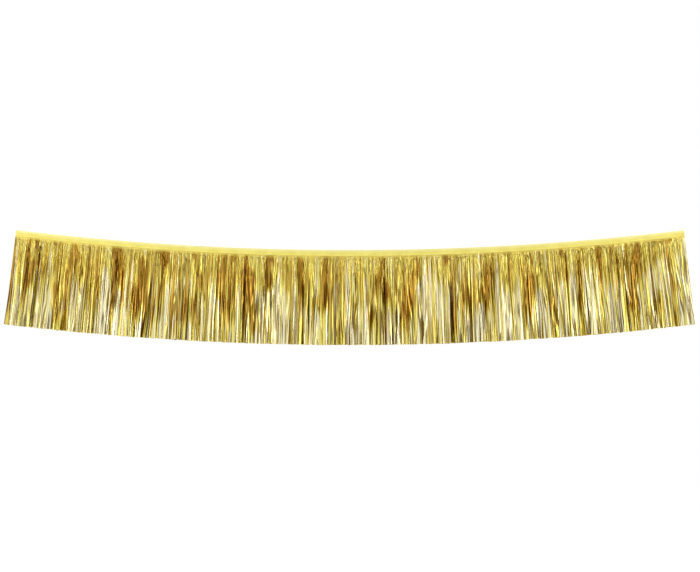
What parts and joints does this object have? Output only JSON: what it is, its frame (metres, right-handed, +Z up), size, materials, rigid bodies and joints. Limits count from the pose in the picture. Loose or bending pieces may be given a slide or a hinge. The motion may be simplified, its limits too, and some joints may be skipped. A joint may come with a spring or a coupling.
{
  "type": "foil fringe garland",
  "caption": "Gold foil fringe garland: a folded header tape grips plies of hanging metallised strands, and tapes to a wall or table edge in a shallow swag.",
  "frame": {"origin": "middle of the header tape's flat back face, on the middle panel, at half the tape's height", "axes": "+X along the garland, +Y out of the header's back towards the wall, so the front faces -Y, and +Z up"},
  "size_m": [1.388, 0.0099, 0.231],
  "materials": {
    "gold_tape": "metallised film tape, satin pale gold",
    "gold_foil": "metallised film, mirror-like gold"
  },
  "bodies": {
    "header_01": {"header_tape_01": "gold_tape", "film_roots_01": "gold_foil"},
    "fringe_01": {"front_strands_01": "gold_foil", "middle_strands_01": "gold_foil", "back_strands_01": "gold_foil"},
    "header_02": {"header_tape_02": "gold_tape", "film_roots_02": "gold_foil"},
    "fringe_02": {"front_strands_02": "gold_foil", "middle_strands_02": "gold_foil", "back_strands_02": "gold_foil"},
    "header_03": {"header_tape_03": "gold_tape", "film_roots_03": "gold_foil"},
    "fringe_03": {"front_strands_03": "gold_foil", "middle_strands_03": "gold_foil", "back_strands_03": "gold_foil"},
    "header_04": {"header_tape_04": "gold_tape", "film_roots_04": "gold_foil"},
    "fringe_04": {"front_strands_04": "gold_foil", "middle_strands_04": "gold_foil", "back_strands_04": "gold_foil"},
    "header_05": {"header_tape_05": "gold_tape", "film_roots_05": "gold_foil"},
    "fringe_05": {"front_strands_05": "gold_foil", "middle_strands_05": "gold_foil", "back_strands_05": "gold_foil"},
    "header_06": {"header_tape_06": "gold_tape", "film_roots_06": "gold_foil"},
    "fringe_06": {"front_strands_06": "gold_foil", "middle_strands_06": "gold_foil", "back_strands_06": "gold_foil"},
    "header_07": {"header_tape_07": "gold_tape", "film_roots_07": "gold_foil"},
    "fringe_07": {"front_strands_07": "gold_foil", "middle_strands_07": "gold_foil", "back_strands_07": "gold_foil"},
    "header_08": {"header_tape_08": "gold_tape", "film_roots_08": "gold_foil"},
    "fringe_08": {"front_strands_08": "gold_foil", "middle_strands_08": "gold_foil", "back_strands_08": "gold_foil"},
    "header_09": {"header_tape_09": "gold_tape", "film_roots_09": "gold_foil"},
    "fringe_09": {"front_strands_09": "gold_foil", "middle_strands_09": "gold_foil", "back_strands_09": "gold_foil"},
    "header_10": {"header_tape_10": "gold_tape", "film_roots_10": "gold_foil"},
    "fringe_10": {"front_strands_10": "gold_foil", "middle_strands_10": "gold_foil", "back_strands_10": "gold_foil"},
    "header_11": {"header_tape_11": "gold_tape", "film_roots_11": "gold_foil"},
    "fringe_11": {"front_strands_11": "gold_foil", "middle_strands_11": "gold_foil", "back_strands_11": "gold_foil"}
  },
  "joints": [
    {"name": "swag", "type": "hinge", "parent": "header_06", "child": "header_07", "pos_m": [0.06136, -0.00055, 0.006], "axis": [0, -1, 0], "range_deg": [-1.25, 2.39]},
    {"name": "swag_bend_07_08", "type": "hinge", "parent": "header_07", "child": "header_08", "pos_m": [0.18406, -0.00055, 0.00867], "axis": [0, -1, 0], "range_deg": [-1.25, 2.39]},
    {"name": "swag_bend_08_09", "type": "hinge", "parent": "header_08", "child": "header_09", "pos_m": [0.30667, -0.00055, 0.014], "axis": [0, -1, 0], "range_deg": [-1.25, 2.39]},
    {"name": "swag_bend_09_10", "type": "hinge", "parent": "header_09", "child": "header_10", "pos_m": [0.42914, -0.00055, 0.022], "axis": [0, -1, 0], "range_deg": [-1.25, 2.39]},
    {"name": "swag_bend_10_11", "type": "hinge", "parent": "header_10", "child": "header_11", "pos_m": [0.5514, -0.00055, 0.03266], "axis": [0, -1, 0], "range_deg": [-1.25, 2.39]},
    {"name": "swag_bend_05_06", "type": "hinge", "parent": "header_06", "child": "header_05", "pos_m": [-0.06136, -0.00055, 0.006], "axis": [0, 1, 0], "range_deg": [-1.25, 2.39]},
    {"name": "swag_bend_04_05", "type": "hinge", "parent": "header_05", "child": "header_04", "pos_m": [-0.18406, -0.00055, 0.00867], "axis": [0, 1, 0], "range_deg": [-1.25, 2.39]},
    {"name": "swag_bend_03_04", "type": "hinge", "parent": "header_04", "child": "header_03", "pos_m": [-0.30667, -0.00055, 0.014], "axis": [0, 1, 0], "range_deg": [-1.25, 2.39]},
    {"name": "swag_bend_02_03", "type": "hinge", "parent": "header_03", "child": "header_02", "pos_m": [-0.42914, -0.00055, 0.022], "axis": [0, 1, 0], "range_deg": [-1.25, 2.39]},
    {"name": "swag_bend_01_02", "type": "hinge", "parent": "header_02", "child": "header_01", "pos_m": [-0.5514, -0.00055, 0.03266], "axis": [0, 1, 0], "range_deg": [-1.25, 2.39]},
    {"name": "swing_01", "type": "hinge", "parent": "header_01", "child": "fringe_01", "pos_m": [-0.61377, -0.00055, 0.02679], "axis": [-0.9941, 0, 0.1085], "range_deg": [-85, 85]},
    {"name": "swing_02", "type": "hinge", "parent": "header_02", "child": "fringe_02", "pos_m": [-0.49137, -0.00055, 0.01478], "axis": [-0.9962, 0, 0.0868], "range_deg": [-85, 85]},
    {"name": "swing_03", "type": "hinge", "parent": "header_03", "child": "fringe_03", "pos_m": [-0.36873, -0.00055, 0.00543], "axis": [-0.9979, 0, 0.0652], "range_deg": [-85, 85]},
    {"name": "swing_04", "type": "hinge", "parent": "header_04", "child": "fringe_04", "pos_m": [-0.24592, -0.00055, -0.00125], "axis": [-0.9991, 0, 0.0435], "range_deg": [-85, 85]},
    {"name": "swing_05", "type": "hinge", "parent": "header_05", "child": "fringe_05", "pos_m": [-0.12299, -0.00055, -0.00526], "axis": [-0.9998, 0, 0.0217], "range_deg": [-85, 85]},
    {"name": "swing_06", "type": "hinge", "parent": "header_06", "child": "fringe_06", "pos_m": [0, -0.00055, -0.0066], "axis": [-1, 0, 0], "range_deg": [-85, 85]},
    {"name": "swing_07", "type": "hinge", "parent": "header_07", "child": "fringe_07", "pos_m": [0.12299, -0.00055, -0.00526], "axis": [-0.9998, 0, -0.0217], "range_deg": [-85, 85]},
    {"name": "swing_08", "type": "hinge", "parent": "header_08", "child": "fringe_08", "pos_m": [0.24592, -0.00055, -0.00125], "axis": [-0.9991, 0, -0.0435], "range_deg": [-85, 85]},
    {"name": "swing_09", "type": "hinge", "parent": "header_09", "child": "fringe_09", "pos_m": [0.36873, -0.00055, 0.00543], "axis": [-0.9979, 0, -0.0652], "range_deg": [-85, 85]},
    {"name": "swing_10", "type": "hinge", "parent": "header_10", "child": "fringe_10", "pos_m": [0.49137, -0.00055, 0.01478], "axis": [-0.9962, 0, -0.0868], "range_deg": [-85, 85]},
    {"name": "swing_11", "type": "hinge", "parent": "header_11", "child": "fringe_11", "pos_m": [0.61377, -0.00055, 0.02679], "axis": [-0.9941, 0, -0.1085], "range_deg": [-85, 85]}
  ],
  "couplings": [
    {"joint": "swag_bend_07_08", "follows": "swag", "ratio": 1},
    {"joint": "swag_bend_08_09", "follows": "swag", "ratio": 1},
    {"joint": "swag_bend_09_10", "follows": "swag", "ratio": 1},
    {"joint": "swag_bend_10_11", "follows": "swag", "ratio": 1},
    {"joint": "swag_bend_05_06", "follows": "swag", "ratio": 1},
    {"joint": "swag_bend_04_05", "follows": "swag", "ratio": 1},
    {"joint": "swag_bend_03_04", "follows": "swag", "ratio": 1},
    {"joint": "swag_bend_02_03", "follows": "swag", "ratio": 1},
    {"joint": "swag_bend_01_02", "follows": "swag", "ratio": 1}
  ]
}
